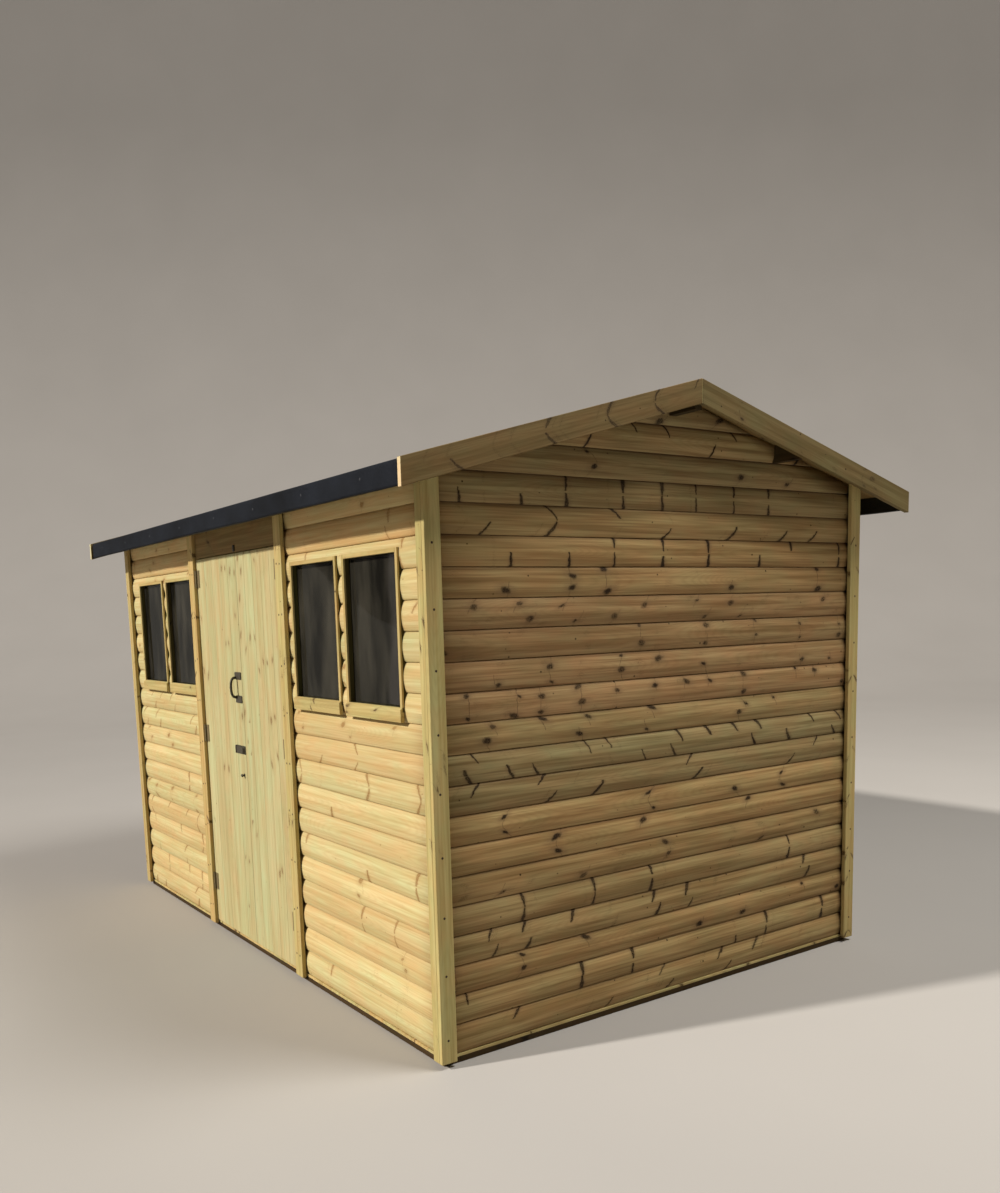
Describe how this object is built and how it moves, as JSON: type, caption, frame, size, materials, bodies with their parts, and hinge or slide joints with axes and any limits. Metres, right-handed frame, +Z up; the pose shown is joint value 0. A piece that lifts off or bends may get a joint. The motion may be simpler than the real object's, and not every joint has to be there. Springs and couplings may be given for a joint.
{
  "type": "garden shed",
  "caption": "Pressure-treated log-lap garden shed with an apex felt roof, boarded double doors and glazed front windows.",
  "frame": {"origin": "centre of the footprint of the whole shed, roof included, at ground level", "axes": "+X along the length towards the plain gable seen on the right, -Y out of the front with the doors, +Z up"},
  "size_m": [3.785, 2.76, 2.538],
  "materials": {
    "cladding": "rough sawn and planed log-lap, pressure treated, matt",
    "door_boards": "planed boards, pressure treated, matt",
    "cover_strips": "planed strips, pressure treated, matt",
    "barge_boards": "planed boards, pressure treated, matt",
    "framing": "sawn framing, matt",
    "floor": "sawn boards, matt",
    "roof_boards": "sawn boards, matt",
    "roof_felt": "mineral-faced bitumen felt, gritty",
    "glass": "clear",
    "black_iron": "black, satin"
  },
  "bodies": {
    "shed": {"front_wall_left": "cladding", "front_wall_right": "cladding", "back_wall": "cladding", "left_gable_wall": "cladding", "right_gable_wall": "cladding", "front_wall_over_door": "cladding", "floor_bearers": "floor", "floor_boards": "floor", "front_frame": "framing", "back_frame": "framing", "left_gable_frame": "framing", "right_gable_frame": "framing", "ridge_beam": "framing", "purlin_front": "framing", "purlin_back": "framing", "corner_strips_front_left": "cover_strips", "corner_strips_front_right": "cover_strips", "corner_strips_back_left": "cover_strips", "corner_strips_back_right": "cover_strips", "door_strip_left": "cover_strips", "door_strip_right": "cover_strips", "window_frame_left": "cover_strips", "window_frame_right": "cover_strips", "roof_boards_front": "roof_boards", "roof_boards_back": "roof_boards", "eaves_fascia_front": "roof_boards", "eaves_fascia_back": "roof_boards", "roof_felt_front": "roof_felt", "roof_felt_back": "roof_felt", "barge_board_front_left": "barge_boards", "barge_board_front_right": "barge_boards", "barge_board_back_left": "barge_boards", "barge_board_back_right": "barge_boards", "window_glass_left": "glass", "window_glass_right": "glass", "jamb_hinges_left": "black_iron", "jamb_hinges_right": "black_iron", "turn_button": "black_iron"},
    "left_door": {"door_left": "door_boards", "door_hinges_left": "black_iron", "pull_handle": "black_iron", "hasp_and_knob": "black_iron"},
    "right_door": {"door_right": "door_boards", "door_hinges_right": "black_iron"}
  },
  "joints": [
    {"name": "left_door_hinge", "type": "hinge", "parent": "shed", "child": "left_door", "pos_m": [-0.535, -1.2005, 1], "axis": [0, 0, -1], "range_deg": [0, 110]},
    {"name": "right_door_hinge", "type": "hinge", "parent": "shed", "child": "right_door", "pos_m": [0.491, -1.2005, 1], "axis": [0, 0, 1], "range_deg": [0, 110]}
  ]
}
